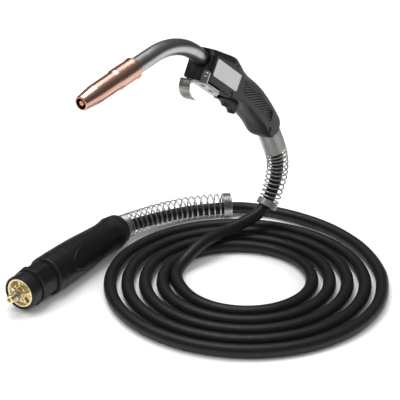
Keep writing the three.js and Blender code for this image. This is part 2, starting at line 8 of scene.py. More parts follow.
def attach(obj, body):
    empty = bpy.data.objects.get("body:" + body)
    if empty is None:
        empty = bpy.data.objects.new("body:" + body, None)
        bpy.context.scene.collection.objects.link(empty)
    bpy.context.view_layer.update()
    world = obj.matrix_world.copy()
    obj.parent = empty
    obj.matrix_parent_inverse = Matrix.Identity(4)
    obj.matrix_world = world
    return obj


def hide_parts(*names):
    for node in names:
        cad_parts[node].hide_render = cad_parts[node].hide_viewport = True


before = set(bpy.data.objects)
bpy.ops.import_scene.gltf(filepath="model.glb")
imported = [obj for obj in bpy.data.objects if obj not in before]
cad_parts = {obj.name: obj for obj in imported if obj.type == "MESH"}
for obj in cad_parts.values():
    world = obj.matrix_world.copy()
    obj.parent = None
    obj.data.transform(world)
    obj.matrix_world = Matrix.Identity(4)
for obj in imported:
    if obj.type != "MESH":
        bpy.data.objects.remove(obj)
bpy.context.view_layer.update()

MM = 0.001
SHIFT = Vector((-2.664, 2.861, -0.084))  # the part's own origin shift, in millimetres


def turn(degrees, axis):
    return Matrix.Rotation(math.radians(degrees), 4, axis)


def move(x, y, z):
    return Matrix.Translation((x, y, z))


# Sizes and places are in millimetres, except where a comment or a docstring says metres.
# Places of the groups, as in the CAD:
# HEAD holds the handle, MOUTH the handle's rear opening, BARREL the nozzle, CONNECTOR the plug.
TORCH = Matrix.Translation(SHIFT)
HEAD = TORCH @ move(5, -80.3, 296) @ turn(34.5, "Y")
MOUTH = HEAD @ move(199, 0, -25) @ turn(25.5, "Y")
CONNECTOR = TORCH @ move(-170, 56, 25.5) @ turn(4.7, "Z") @ turn(0.7, "Y")
NECK_BEND_X = -10.4
NECK_BEND_R = 110
NECK_BEND = math.radians(44)
NECK_STRAIGHT = 33
BARREL_X = NECK_BEND_X - NECK_BEND_R * math.sin(NECK_BEND) - NECK_STRAIGHT * math.cos(NECK_BEND)
BARREL_Z = -NECK_BEND_R * (1 - math.cos(NECK_BEND)) - NECK_STRAIGHT * math.sin(NECK_BEND)
BARREL = HEAD @ move(BARREL_X, 0, BARREL_Z) @ turn(136, "Y")

# ---------- camera ----------
CAMERA_PLACE = (-1060.86, -822.14, 705.2)
CAMERA_AZIMUTH = math.radians(-55)
CAMERA_PITCH = math.radians(24.4)
CAMERA_LENS = 107.05


def add_camera():
    data = bpy.data.cameras.new("camera")
    data.lens = CAMERA_LENS
    data.sensor_width = 36
    data.clip_start = 0.05
    data.clip_end = 50
    camera = bpy.data.objects.new("camera", data)
    bpy.context.scene.collection.objects.link(camera)
    level = math.cos(CAMERA_PITCH)
    ahead = Vector((
        -math.sin(CAMERA_AZIMUTH) * level, math.cos(CAMERA_AZIMUTH) * level, -math.sin(CAMERA_PITCH),
    ))
    camera.location = Vector(CAMERA_PLACE) * MM
    camera.rotation_mode = "QUATERNION"
    camera.rotation_quaternion = ahead.to_track_quat("-Z", "Y")
    bpy.context.scene.camera = camera


add_camera()


# ---------- curves ----------
def catmull_rom(points, per_span):
    """A centripetal Catmull-Rom curve through the points, with per_span points for each span."""
    pts = [Vector(p) for p in points]
    pts = [pts[0] * 2 - pts[1]] + pts + [pts[-1] * 2 - pts[-2]]
    out = []
    for a, b, c, d in zip(pts, pts[1:], pts[2:], pts[3:]):
        ta = 0.0
        tb = ta + math.sqrt((b - a).length)
        tc = tb + math.sqrt((c - b).length)
        td = tc + math.sqrt((d - c).length)
        for i in range(per_span):
            t = tb + (tc - tb) * i / per_span
            ab = a * ((tb - t) / (tb - ta)) + b * ((t - ta) / (tb - ta))
            bc = b * ((tc - t) / (tc - tb)) + c * ((t - tb) / (tc - tb))
            cd = c * ((td - t) / (td - tc)) + d * ((t - tc) / (td - tc))
            abc = ab * ((tc - t) / (tc - ta)) + bc * ((t - ta) / (tc - ta))
            bcd = bc * ((td - t) / (td - tb)) + cd * ((t - tb) / (td - tb))
            out.append(abc * ((tc - t) / (tc - tb)) + bcd * ((t - tb) / (tc - tb)))
    out.append(pts[-2])
    return out


def resample(points, step):
    """Evenly spaced points along a polyline."""
    out = [points[0]]
    left = step
    for a, b in zip(points, points[1:]):
        length = (b - a).length
        at = left
        while at <= length:
            out.append(a.lerp(b, at / length))
            at += step
        left = at - length
    if (out[-1] - points[-1]).length > step * 0.3:
        out.append(points[-1])
    return out


def relaxed(points, passes):
    """The same line with its small kinks smoothed out. The ends stay."""
    pts = list(points)
    for _ in range(passes):
        inner = [a * 0.25 + b * 0.5 + c * 0.25 for a, b, c in zip(pts, pts[1:], pts[2:])]
        pts = [pts[0]] + inner + [pts[-1]]
    return pts


def length_of(points):
    return sum((b - a).length for a, b in zip(points, points[1:]))


# ---------- the cable ----------
CABLE_R = 8
COIL_CENTRE = (36, -122)
COIL_OUTER_R = 173.5
COIL_START_DEG = -55
COIL_PITCH = 21.6
COIL_TURNS = 4.43
COIL_POINTS_PER_TURN = 16
ROUTE_STEP = 0.003  # metres
TAIL_ROUTE = [  # metres, from the connector to the side of the coil
    (0.016, 0.0713, 0.0232), (0.036, 0.0729, 0.0226), (0.056, 0.072, 0.020), (0.078, 0.0685, 0.0172),
    (0.1032, 0.0628, 0.0148), (0.127, 0.055, 0.013), (0.1485, 0.0452, 0.012), (0.1666, 0.0326, 0.0116),
    (0.1826, 0.0185, 0.0114), (0.1995, 0.002, 0.0112), (0.212, -0.0115, 0.0098), (0.2205, -0.028, 0.0086),
    (0.226, -0.046, 0.008), (0.229, -0.066, 0.008), (0.230, -0.088, 0.008), (0.229, -0.110, 0.008),
    (0.2245, -0.138, 0.008), (0.216, -0.164, 0.008), (0.204, -0.190, 0.008), (0.1857, -0.2172, 0.008),
    (0.163, -0.242, 0.008),
]
RISE_ROUTE = [  # metres, from the floor inside the coil to the crimp in the handle
    (-0.0056, -0.0515, 0.008), (0.0212, -0.0386, 0.0086), (0.0406, -0.040, 0.017), (0.059, -0.042, 0.0228),
    (0.074, -0.044, 0.025), (0.088, -0.046, 0.0252), (0.104, -0.048, 0.0254), (0.119, -0.053, 0.0274),
    (0.136, -0.061, 0.0315), (0.152, -0.068, 0.0358), (0.166, -0.0708, 0.043), (0.1763, -0.073, 0.0545),
    (0.1826, -0.0753, 0.0685), (0.1856, -0.0775, 0.084), (0.1853, -0.0792, 0.0995), (0.181, -0.080, 0.116),
    (0.1725, -0.0803, 0.1321), (0.163, -0.0803, 0.1485), (0.1548, -0.0803, 0.1627), (0.1449, -0.0803, 0.1799),
    (0.129, -0.0803, 0.2029), (0.1103, -0.0803, 0.2196), (0.0898, -0.0803, 0.2341),
]


def spiral_point(turns):
    """The middle of the cable on the floor, after this many turns inwards."""
    angle = math.radians(COIL_START_DEG - 360 * turns)
    r = COIL_OUTER_R - COIL_PITCH * turns
    x, y = COIL_CENTRE
    return Vector((x + r * math.cos(angle), y + r * math.sin(angle), CABLE_R)) * MM


def cable_route():
    count = int(COIL_TURNS * COIL_POINTS_PER_TURN)
    spiral = [spiral_point(COIL_TURNS * i / count) for i in range(count + 1)]
    route = [Vector(p) for p in TAIL_ROUTE] + spiral + [Vector(p) for p in RISE_ROUTE]
    dense = resample(catmull_rom(route, 12), ROUTE_STEP)
    return [p + SHIFT * MM for p in relaxed(dense, 12)]


def wire(name, points, radius, roundness, paint):
    """A round wire along the points, as a curve. Points and radius are in metres."""
    data = bpy.data.curves.new(name, "CURVE")
    data.dimensions = "3D"
    data.bevel_depth = radius
    data.bevel_resolution = roundness
    data.use_fill_caps = True
    spline = data.splines.new("POLY")
    spline.points.add(len(points) - 1)
    for target, p in zip(spline.points, points):
        target.co = (*p, 1)
    spline.use_smooth = True
    obj = bpy.data.objects.new(name, data)
    bpy.context.scene.collection.objects.link(obj)
    data.materials.append(paint)
    return obj


# ---------- materials ----------
def node(tree, kind, **values):
    made = tree.nodes.new(kind)
    for key, value in values.items():
        setattr(made, key, value)
    return made


def noise(tree, vector, scale, detail=3.0):
    made = node(tree, "ShaderNodeTexNoise")
    made.inputs["Scale"].default_value = scale
    made.inputs["Detail"].default_value = detail
    made.inputs["Roughness"].default_value = 0.55
    tree.links.new(vector, made.inputs["Vector"])
    return made.outputs["Fac"]


def ranged(tree, value, low, high, from_low=0.3, from_high=0.7):
    """The value's range from_low to from_high, stretched to low to high."""
    made = node(tree, "ShaderNodeMapRange")
    made.inputs["From Min"].default_value = from_low
    made.inputs["From Max"].default_value = from_high
    made.inputs["To Min"].default_value = low
    made.inputs["To Max"].default_value = high
    tree.links.new(value, made.inputs["Value"])
    return made.outputs["Result"]


def tinted(tree, factor, first, second):
    """A colour between two, by the factor. Each of the two is a colour or a socket."""
    made = node(tree, "ShaderNodeMix", data_type="RGBA")
    for socket, value in ((made.inputs[6], first), (made.inputs[7], second)):
        if isinstance(value, tuple):
            socket.default_value = (*value, 1)
        else:
            tree.links.new(value, socket)
    tree.links.new(factor, made.inputs[0])
    return made.outputs[2]


def material(
    name, tones, roughness, metallic, grain, bump, patch=60, wear=None, turned=False, specular=0.5,
):
    """tones: two colours that change slowly over the surface. grain: size of the fine texture in metres.
    bump: its strength and height. patch: how often the tones change, per metre. wear: a colour for the
    worn outer edges. turned: the grain runs round the piece, like the marks of a lathe."""
    made = bpy.data.materials.new(name)
    made.use_nodes = True
    tree = made.node_tree
    shader = tree.nodes["Principled BSDF"]
    shader.inputs["Metallic"].default_value = metallic
    shader.inputs["Specular IOR Level"].default_value = specular
    place = node(tree, "ShaderNodeTexCoord").outputs["Object"]
    slow = noise(tree, place, patch)
    colour = tinted(tree, ranged(tree, slow, 0, 1), *tones)
    if wear:
        edge = node(tree, "ShaderNodeNewGeometry").outputs["Pointiness"]
        broken = node(tree, "ShaderNodeMath", operation="MULTIPLY")
        tree.links.new(ranged(tree, edge, 0, 1, 0.505, 0.56), broken.inputs[0])
        tree.links.new(ranged(tree, slow, 0.35, 1), broken.inputs[1])
        colour = tinted(tree, broken.outputs[0], colour, wear)
    tree.links.new(colour, shader.inputs["Base Color"])
    smudge = noise(tree, place, patch * 4)
    tree.links.new(ranged(tree, smudge, *roughness), shader.inputs["Roughness"])
    if turned:
        along = node(tree, "ShaderNodeAttribute", attribute_name="along").outputs["Vector"]
        height = noise(tree, along, 1 / grain, detail=4)
    else:
        height = noise(tree, place, 1 / grain, detail=2)
    raised = node(tree, "ShaderNodeBump")
    raised.inputs["Strength"].default_value, raised.inputs["Distance"].default_value = bump
    tree.links.new(height, raised.inputs["Height"])
    tree.links.new(raised.outputs["Normal"], shader.inputs["Normal"])
    return made


COPPER = material(
    "polished_copper", ((0.72, 0.44, 0.355), (0.66, 0.39, 0.31)), (0.24, 0.28), 1,
    grain=0.0014, bump=(0.03, 0.00001), patch=18, turned=True,
)
RED_COPPER = material(
    "drawn_copper", ((0.74, 0.34, 0.24), (0.62, 0.26, 0.18)), (0.25, 0.4), 1,
    grain=0.0008, bump=(0.2, 0.00003), turned=True,
)
BRASS = material(
    "bright_brass", ((0.90, 0.77, 0.47), (0.83, 0.69, 0.39)), (0.30, 0.40), 1,
    grain=0.0008, bump=(0.08, 0.00001), turned=True,
)
STEEL = material(
    "satin_steel", ((0.48, 0.475, 0.465), (0.42, 0.415, 0.405)), (0.27, 0.34), 1,
    grain=0.0006, bump=(0.12, 0.00002), patch=40,
)
# Dark steel for the case screws: its dark colour is painted shade, standing in for the shade that falls in
# their counterbores.
SCREW_SHADE_STEEL = material(
    "dark_steel_painted_shade", ((0.13, 0.13, 0.13), (0.09, 0.09, 0.09)), (0.3, 0.42), 1,
    grain=0.0006, bump=(0.12, 0.00002), patch=90,
)
SPRING_STEEL = material(
    "spring_wire", ((0.58, 0.57, 0.545), (0.50, 0.49, 0.47)), (0.30, 0.40), 1,
    grain=0.0012, bump=(0.05, 0.00001),
)
BRIGHT_STEEL = material(
    "plated_steel", ((0.40, 0.395, 0.38), (0.34, 0.335, 0.32)), (0.30, 0.40), 1,
    grain=0.0008, bump=(0.12, 0.00002), patch=70,
)
PLASTIC = material(
    "black_moulding", ((0.0065, 0.0065, 0.0068), (0.005, 0.005, 0.0052)), (0.38, 0.50), 0,
    grain=0.0008, bump=(0.3, 0.00005), patch=50, wear=(0.022, 0.022, 0.022), specular=0.32,
)
RUBBER = material(
    "soft_black_rubber", ((0.009, 0.009, 0.009), (0.007, 0.007, 0.007)), (0.5, 0.62), 0,
    grain=0.0008, bump=(0.25, 0.00005), patch=70, wear=(0.02, 0.02, 0.02), specular=0.35,
)
CABLE_RUBBER = material(
    "cable_rubber", ((0.006, 0.006, 0.0063), (0.0046, 0.0046, 0.0049)), (0.42, 0.54), 0,
    grain=0.001, bump=(0.25, 0.00005), patch=40, specular=0.4,
)
PLATE = material(
    "blank_side_plate", ((0.56, 0.57, 0.57), (0.51, 0.52, 0.52)), (0.3, 0.4), 0.1,
    grain=0.0006, bump=(0.08, 0.00001), patch=30,
)
PIN_STEEL = material(
    "turned_pin_steel", ((0.66, 0.64, 0.57), (0.58, 0.56, 0.50)), (0.26, 0.36), 1,
    grain=0.0010, bump=(0.08, 0.00001), turned=True,
)
PHENOLIC = material(
    "brown_insulator", ((0.05, 0.03, 0.02), (0.035, 0.02, 0.014)), (0.45, 0.6), 0,
    grain=0.0008, bump=(0.3, 0.00005),
)
GREY_PLASTIC = material(
    "grey_moulding", ((0.09, 0.095, 0.1), (0.07, 0.075, 0.08)), (0.4, 0.5), 0,
    grain=0.0006, bump=(0.2, 0.00004),
)

# ---------- the cable in place ----------
route = cable_route()
cable = wire("cable", route, CABLE_R * MM, 6, CABLE_RUBBER)
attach(cable, "torch")
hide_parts("cable_coil", "cable_to_connector", "cable_to_handle")


# ---------- mesh helpers ----------
def add_object(name, verts, faces, place, paint, along=None, sharp=32):
    """A mesh from points in millimetres in the frame of place. along: each point's own place for the
    turning marks. sharp: edges that bend by more degrees than this stay crisp."""
    mesh = bpy.data.meshes.new(name)
    mesh.from_pydata([place @ Vector(v) * MM for v in verts], [], faces)
    if along is not None:
        held = mesh.attributes.new("along", "FLOAT_VECTOR", "POINT")
        for item, value in zip(held.data, along):
            item.vector = (value * MM, 0, 0)
    mesh.validate()
    bm = bmesh.new()
    bm.from_mesh(mesh)
    bmesh.ops.remove_doubles(bm, verts=bm.verts, dist=1e-7)
    bmesh.ops.recalc_face_normals(bm, faces=bm.faces)
    bm.to_mesh(mesh)
    bm.free()
    obj = bpy.data.objects.new(name, mesh)
    bpy.context.scene.collection.objects.link(obj)
    mesh.materials.append(paint)
    smooth(obj, sharp)
    return obj


def smooth(obj, sharp=32):
    for polygon in obj.data.polygons:
        polygon.use_smooth = True
    obj.data.set_sharp_from_angle(angle=math.radians(sharp))


def finish_piece(obj, nodes, body="torch"):
    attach(obj, body)
    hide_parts(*nodes)
    return obj


def rounded(outline, radius, steps=3, closed=True):
    """The outline with each of its corners rounded. Points are pairs, or carry their own radius third."""
    count = len(outline)
    out = []
    for i, point in enumerate(outline):
        here = Vector(point[:2])
        if not closed and i in (0, count - 1):
            out.append(here)
            continue
        back = Vector(outline[i - 1][:2]) - here
        ahead = Vector(outline[(i + 1) % count][:2]) - here
        if back.length < 1e-9 or ahead.length < 1e-9:
            continue
        own = point[2] if len(point) > 2 else radius
        bend = math.pi - back.angle(ahead)
        if own <= 0 or bend < math.radians(4):
            out.append(here)
            continue
        reach = min(own * math.tan(bend / 2), 0.45 * back.length, 0.45 * ahead.length)
        start, end = here + back.normalized() * reach, here + ahead.normalized() * reach
        for k in range(steps + 1):
            t = k / steps
            out.append(start * (1 - t) ** 2 + here * 2 * t * (1 - t) + end * t * t)
    return out


def lathe(name, profile, place, paint, segments=96, radius=0.4, closed=True):
    """A turned piece about x. profile: [x, r] pairs round the section, or from axis to axis."""
    line = rounded(profile, radius, closed=closed)
    count = len(line)
    verts, along = [], []
    for x, r in line:
        for k in range(segments):
            a = 2 * math.pi * k / segments
            verts.append((x, r * math.cos(a), r * math.sin(a)))
            along.append(x)
    faces = []
    for i in range(count if closed else count - 1):
        j = (i + 1) % count
        for k in range(segments):
            n = (k + 1) % segments
            faces.append((i * segments + k, i * segments + n, j * segments + n, j * segments + k))
    return add_object(name, verts, faces, place, paint, along, sharp=40)


def prism(name, outline, half, place, paint, edge=0.5, centre=0.0, steps=3, axis="Y"):
    """A plate: the outline in x and z, with thickness to both sides along y, and rounded edges.
    With axis X the outline is in y and z and the thickness along x; with axis Z it is in x and y."""
    put = {
        "Y": lambda u, v, w: (u, centre + w, v),
        "X": lambda u, v, w: (centre + w, u, v),
        "Z": lambda u, v, w: (u, v, centre + w),
    }[axis]
    count = len(outline)
    verts = [put(u, v, w) for w in (-half, half) for u, v in outline]
    faces = [tuple(range(count))[::-1], tuple(range(count, 2 * count))]
    faces += [(i, (i + 1) % count, count + (i + 1) % count, count + i) for i in range(count)]
    obj = add_object(name, verts, faces, place, paint)
    if edge > 0:
        add_bevel(obj, edge, steps)
    return obj


def add_bevel(obj, width, steps=3, limit=35):
    """Rounds the edges that bend by more degrees than the limit."""
    bevel = obj.modifiers.new("edges", "BEVEL")
    bevel.width = width * MM
    bevel.segments = steps
    bevel.limit_method = "ANGLE"
    bevel.angle_limit = math.radians(limit)
    bevel.harden_normals = True


def settle(obj):
    """Applies the object's modifiers."""
    graph = bpy.context.evaluated_depsgraph_get()
    graph.update()
    mesh = bpy.data.meshes.new_from_object(obj.evaluated_get(graph))
    obj.modifiers.clear()
    old = obj.data
    obj.data = mesh
    mesh.name = obj.name
    bpy.data.meshes.remove(old)
    return obj


def combine(obj, other, operation):
    """Joins or cuts obj with the other one, which is used up."""
    step = obj.modifiers.new("join", "BOOLEAN")
    step.operation = operation
    step.solver = "EXACT"
    step.object = other
    settle(obj)
    bpy.data.objects.remove(other)
    return obj


def rod(name, place, x, z, radius, y0, y1, paint, sides=48):
    """A plain round bar along y, to cut a hole with."""
    turns = [2 * math.pi * k / sides for k in range(sides)]
    ring = [(x + radius * math.cos(a), z + radius * math.sin(a)) for a in turns]
    return prism(name, ring, (y1 - y0) / 2, place, paint, edge=0, centre=(y0 + y1) / 2)


def pipe(name, points, outer, inner, paint, sides=64):
    """A tube along points that are in metres, with its outer and inner radius in millimetres."""
    rings = []
    travelled = 0.0
    for i, p in enumerate(points):
        before, after = points[max(i - 1, 0)], points[min(i + 1, len(points) - 1)]
        tangent = (after - before).normalized()
        side = Vector((0, 1, 0)).cross(tangent).normalized()
        travelled += (p - before).length
        rings.append((p / MM, side, tangent.cross(side), travelled / MM))
    verts, along = [], []
    for radius in (outer, inner):
        for centre, side, over, at in rings:
            for k in range(sides):
                a = 2 * math.pi * k / sides
                verts.append(centre + side * (radius * math.cos(a)) + over * (radius * math.sin(a)))
                along.append(at)
    last = len(points) - 1
    inside = len(points) * sides
    faces = []
    for base in (0, inside):
        for i in range(last):
            here, there = base + i * sides, base + (i + 1) * sides
            for k in range(sides):
                n = (k + 1) % sides
                faces.append((here + k, here + n, there + n, there + k))
    for here in (0, last * sides):
        for k in range(sides):
            n = (k + 1) % sides
            faces.append((here + k, here + n, inside + here + n, inside + here + k))
    return add_object(name, verts, faces, Matrix.Identity(4), paint, along, sharp=40)


def loft(name, sections, place, paint):
    """Closed sections of equal count, joined in turn, with flat ends."""
    count = len(sections[0])
    verts = [v for section in sections for v in section]
    faces = [tuple(range(count)), tuple(range(len(verts) - count, len(verts)))]
    for i in range(len(sections) - 1):
        here, there = i * count, (i + 1) * count
        for k in range(count):
            n = (k + 1) % count
            faces.append((here + k, here + n, there + n, there + k))
    return add_object(name, verts, faces, place, paint)


def join(name, objects):
    """Several objects made into one mesh, with their own materials kept."""
    bm = bmesh.new()
    mesh = bpy.data.meshes.new(name)
    for obj in objects:
        settle(obj)
        paint = obj.data.materials[0]
        if paint.name not in mesh.materials:
            mesh.materials.append(paint)
        index = mesh.materials.find(paint.name)
        first = len(bm.faces)
        bm.from_mesh(obj.data)
        bm.faces.ensure_lookup_table()
        for face in bm.faces[first:]:
            face.material_index = index
        bpy.data.objects.remove(obj)
    bm.to_mesh(mesh)
    bm.free()
    made = bpy.data.objects.new(name, mesh)
    bpy.context.scene.collection.objects.link(made)
    smooth(made)
    return made


def smooth_step(t):
    """0 before t is 0, 1 after t is 1, and a soft change between."""
    t = min(max(t, 0.0), 1.0)
    return t * t * (3 - 2 * t)


def along_table(table, x):
    """A value read from a table of [x, value] pairs."""
    if x <= table[0][0]:
        return table[0][1]
    for (x0, v0), (x1, v1) in zip(table, table[1:]):
        if x <= x1:
            return v0 + (v1 - v0) * (x - x0) / (x1 - x0)
    return table[-1][1]


def inside_depth(outline, x, z):
    """How far inside the outline a point is, in millimetres. It is negative outside."""
    nearest = math.inf
    inside = False
    for (x0, z0), (x1, z1) in zip(outline, outline[1:] + outline[:1]):
        dx, dz = x1 - x0, z1 - z0
        t = min(max(((x - x0) * dx + (z - z0) * dz) / (dx * dx + dz * dz), 0), 1)
        nearest = min(nearest, math.hypot(x - x0 - t * dx, z - z0 - t * dz))
        if (z0 > z) != (z1 > z) and x < x0 + (z - z0) * dx / dz:
            inside = not inside
    return nearest if inside else -nearest


# ---------- neck and nozzle ----------
NECK_R = 9.4
NECK_BORE_R = 8.1
NECK_IN_NOZZLE = 5


def neck_points():
    """The neck's middle line in metres, from inside the handle to inside the nozzle."""
    line = [(x, 0.0) for x in (11.5, 6, 0, -5)]
    steps = 60
    for i in range(steps + 1):
        a = NECK_BEND * i / steps
        line.append((NECK_BEND_X - NECK_BEND_R * math.sin(a), -NECK_BEND_R * (1 - math.cos(a))))
    end_x, end_z = line[-1]
    steps = 9
    for i in range(1, steps + 1):
        reach = (NECK_STRAIGHT + NECK_IN_NOZZLE) * i / steps
        line.append((end_x - reach * math.cos(NECK_BEND), end_z - reach * math.sin(NECK_BEND)))
    return [HEAD @ Vector((x, 0, z)) * MM for x, z in line]


neck = pipe("neck_tube", neck_points(), NECK_R, NECK_BORE_R, STEEL)
finish_piece(neck, ["neck_jacket"])

NOZZLE = [
    [0, 11.2], [0.6, 12.1, 0.4], [2.6, 12.1, 0.4], [3.2, 11.5], [31, 11.7, 1.2], [34.5, 10.7, 2.5],
    [66, 10.5, 0.8], [87.0, 7.9, 0.6], [88, 7.2, 0.5], [88, 6.2, 0.4], [80, 6.2], [60, 9], [34, 10], [0, 10],
]
nozzle = lathe("gas_nozzle", NOZZLE, BARREL, COPPER, segments=128)
finish_piece(nozzle, ["nozzle"], "nozzle")

TIP = [[43, 0.6], [43, 2.6], [54.3, 2.6], [54.3, 4], [76, 4], [85, 3], [87, 2.6, 0.4], [87, 0.6]]
tip = lathe("contact_tip_turned", TIP, BARREL, RED_COPPER, segments=64, radius=0.3)
finish_piece(tip, ["contact_tip"])

# ---------- handle ----------
# The outline from the side, x along the handle and z upwards.
HANDLE_TOP = [
    (3, 12), (14, 14.1), (26, 16), (38, 18), (50, 19.8), (56, 20.3), (64, 20), (72, 18.6), (84, 15.6),
    (98, 13.2), (112, 12.4), (126, 11.8), (142, 9.9), (158, 6.9), (175, 2.8), (188, -0.8), (199, -4.6),
    (203.2, -8.6),
]
HANDLE_UNDER = [
    (5, -27), (20, -27), (40, -27), (58, -27), (68, -25.6), (80, -23.6), (92, -22.6), (105, -23),
    (118, -24.4), (134, -27.2), (155, -31.4), (172, -36), (181.5, -39), (188.6, -39.9),
]
# The section, as values that change along x: half the flat top, the height of the slanted shoulder,
# the height of the slanted underside, and the rounding of the corners.
HALF_WIDTH = 18
TOP_FLAT = [(0, 11.5), (56, 11.5), (80, 8), (150, 7), (207, 5)]
SHOULDER = [(0, 6), (50, 8.5), (80, 9), (150, 8.5), (207, 10)]
CROWN = [(59, 1.6), (72, 0.9), (95, 0.7), (122, 0.8), (147, 1.3), (168, 1.9), (192, 1.7)]
CROWN_LIFT = 0.6
CROWN_WIDTH = 7
ROUNDING = [(0, 1.2), (54, 1.6), (80, 4.5), (150, 5), (185, 5), (207, 6)]
SIDE_ROUNDING = 1.6
GROOVE = 0.15  # half the gap between the two shells
FRONT_ROUNDING = 6
FRONT_PULL_IN = 0.8
FRONT_LIFT = 2
FRONT_LIFT_UNDER = 0.7
SECTIONS = 420
CORNER_STEPS = 5
SPAN_STEPS = (5, 8, 46, 6, 5)
# The sunk grip panel and its ribs.
GRIP_LEAF = [
    (82.5, 2.4), (96, 2.8), (110, 2.2), (125, 0.6), (140, -2), (155, -5.1), (165, -8), (169.5, -11),
    (171, -15.5), (171, -23), (164, -22.5), (152, -20.4), (140, -18), (126, -16.2), (112, -14.5),
    (98, -13.4), (86.5, -13), (80, -4),
]
LEAF_FOOT = [(80, -4), (86.5, -13), (112, -14.5), (140, -18), (164, -22.5), (171, -23)]
LEAF_DEPTH = 0.6
LEAF_SLANT = 1.9
LEAF_RISE = 11
LEAF_EDGE = 0.7
RIB_SLOPE = math.radians(20)
RIB_PITCH = 3.0
RIB_HEIGHT = 0.75
RIB_MARGIN = 0.6
RIB_FADE = 0.8


def split_evenly(points, count):
    """Points at even spacing along a plane curve through the given ones."""
    dense = catmull_rom([Vector((x, 0, z)) for x, z in points], 12)
    total = length_of(dense)
    out, travelled, index = [], 0.0, 0
    for k in range(count):
        goal = total * k / (count - 1)
        while index < len(dense) - 2 and travelled + (dense[index + 1] - dense[index]).length < goal:
            travelled += (dense[index + 1] - dense[index]).length
            index += 1
        a, b = dense[index], dense[index + 1]
        out.append(a.lerp(b, min((goal - travelled) / max((b - a).length, 1e-9), 1)))
    return out


def arc_corner(before, corner, after, radius, steps):
    """A fixed number of points round one corner of a section."""
    back, ahead = before - corner, after - corner
    reach = min(radius, 0.48 * back.length, 0.48 * ahead.length)
    start, end = corner + back.normalized() * reach, corner + ahead.normalized() * reach
    shares = [i / steps for i in range(steps + 1)]
    return [start * (1 - t) ** 2 + corner * 2 * t * (1 - t) + end * t * t for t in shares]


def round_over(gap, radius):
    """How far an end rounded to this radius falls back, at a distance from it."""
    return radius - math.sqrt(max(radius ** 2 - (radius - min(gap, radius)) ** 2, 0))


def handle_section(top, bottom, front_gap, side):
    """One half of the handle's cross section, from the top middle round the side to the bottom middle."""
    down = bottom - top
    height = down.length
    x = (top.x + bottom.x) / 2
    half = HALF_WIDTH - round_over(front_gap, FRONT_ROUNDING) * FRONT_PULL_IN
    flat = along_table(TOP_FLAT, x) * half / HALF_WIDTH
    soft = along_table(ROUNDING, x)
    corners = [
        Vector((GROOVE, 0)), Vector((flat, 0)), Vector((half, along_table(SHOULDER, x))),
        Vector((half, height - along_table(CROWN, x) - CROWN_LIFT)), Vector((half - CROWN_WIDTH, height)),
        Vector((GROOVE, height)),
    ]
    radii = (soft, soft + 0.6, SIDE_ROUNDING, soft + 2)
    arcs = [arc_corner(*corners[i:i + 3], radius, CORNER_STEPS) for i, radius in enumerate(radii)]
    arcs.append([corners[-1]])
    line = [corners[0]]
    for span, arc in zip(SPAN_STEPS, arcs):
        start, end = line[-1], arc[0]
        line += [start.lerp(end, k / span) for k in range(1, span + 1)] + arc[1:]
    unit = down.normalized()
    return [
        (top.x + unit.x * p.y, side * relieved(p.x, top + unit * p.y), top.z + unit.z * p.y) for p in line
    ]


def relieved(y, place):
    """The half width at a point of the side, with the grip panel and its ribs sunk into it."""
    if y < HALF_WIDTH - 3:
        return y
    depth = inside_depth(GRIP_LEAF, place.x, place.z)
    if depth <= 0:
        return y
    above = place.z - along_table(LEAF_FOOT, place.x)
    sunk = (LEAF_DEPTH + LEAF_SLANT * smooth_step(above / LEAF_RISE)) * smooth_step(depth / LEAF_EDGE)
    run = place.z * math.cos(RIB_SLOPE) - place.x * math.sin(RIB_SLOPE)
    wave = 0.5 + 0.5 * math.cos(2 * math.pi * run / RIB_PITCH)
    return y - sunk + RIB_HEIGHT * wave * smooth_step((depth - RIB_MARGIN) / RIB_FADE)


def handle_half(name, side):
    tops, unders = split_evenly(HANDLE_TOP, SECTIONS), split_evenly(HANDLE_UNDER, SECTIONS)
    sections = []
    for top, bottom in zip(tops, unders):
        gap = (top - tops[0]).length
        unit = (bottom - top).normalized()
        lift = round_over(gap, FRONT_LIFT)
        sections.append(handle_section(top + unit * lift, bottom - unit * lift * FRONT_LIFT_UNDER, gap, side))
    return loft(name, sections, HEAD, PLASTIC)


# What is cut out of the two shells.
CAVITY = [
    (9, -22.5), (8.5, 8), (50, 15), (72, 13), (110, 7.5), (150, 3.5), (180, -5), (186, -9), (178, -32),
    (150, -25.5), (118, -19), (92, -18), (68, -21), (58, -22.5),
]
CAVITY_HALF = 12.2
MOUTH_CUT = [[-16, 0], [-16, 14.9], [30, 14.9], [30, 0]]
ENTRY_CUT = [[-6, 0], [-6, 13.4], [4.6, 13.2], [4.6, 11.6], [7, 11.2], [7, 9.75], [12, 9.75], [12, 0]]
TRIGGER_SLOT = [(66.8, -45), (66.8, -14), (108.4, -14), (108.4, -45)]
TRIGGER_SLOT_HALF = 5.45
HANDLE_SCREWS = [(55, 13), (62.4, -22.6), (176, -31.8)]
COUNTERBORE_R = 3.6
COUNTERBORE_Y = -15.7


def cut_handle(half):
    for cutter in (
        prism("hollow", CAVITY, CAVITY_HALF, HEAD, PLASTIC, edge=0),
        lathe("mouth", MOUTH_CUT, MOUTH, PLASTIC, radius=0),
        lathe("entry", ENTRY_CUT, HEAD, PLASTIC, radius=0.2),
        prism("slot", TRIGGER_SLOT, TRIGGER_SLOT_HALF, HEAD, PLASTIC, edge=0),
    ):
        combine(half, cutter, "DIFFERENCE")
    return half


left = cut_handle(handle_half("handle_shell_left", -1))
for x, z in HANDLE_SCREWS:
    combine(left, rod("counterbore", HEAD, x, z, COUNTERBORE_R, -30, COUNTERBORE_Y, PLASTIC), "DIFFERENCE")
right = cut_handle(handle_half("handle_shell_right", 1))
for shell, replaced in ((left, "handle_left"), (right, "handle_right")):
    add_bevel(shell, 0.35, 2, limit=50)
    settle(shell)
    smooth(shell, 38)
    finish_piece(shell, [replaced])

# ---------- handle fittings ----------
SIDEWAYS = turn(-90, "Z")  # local x points to -y


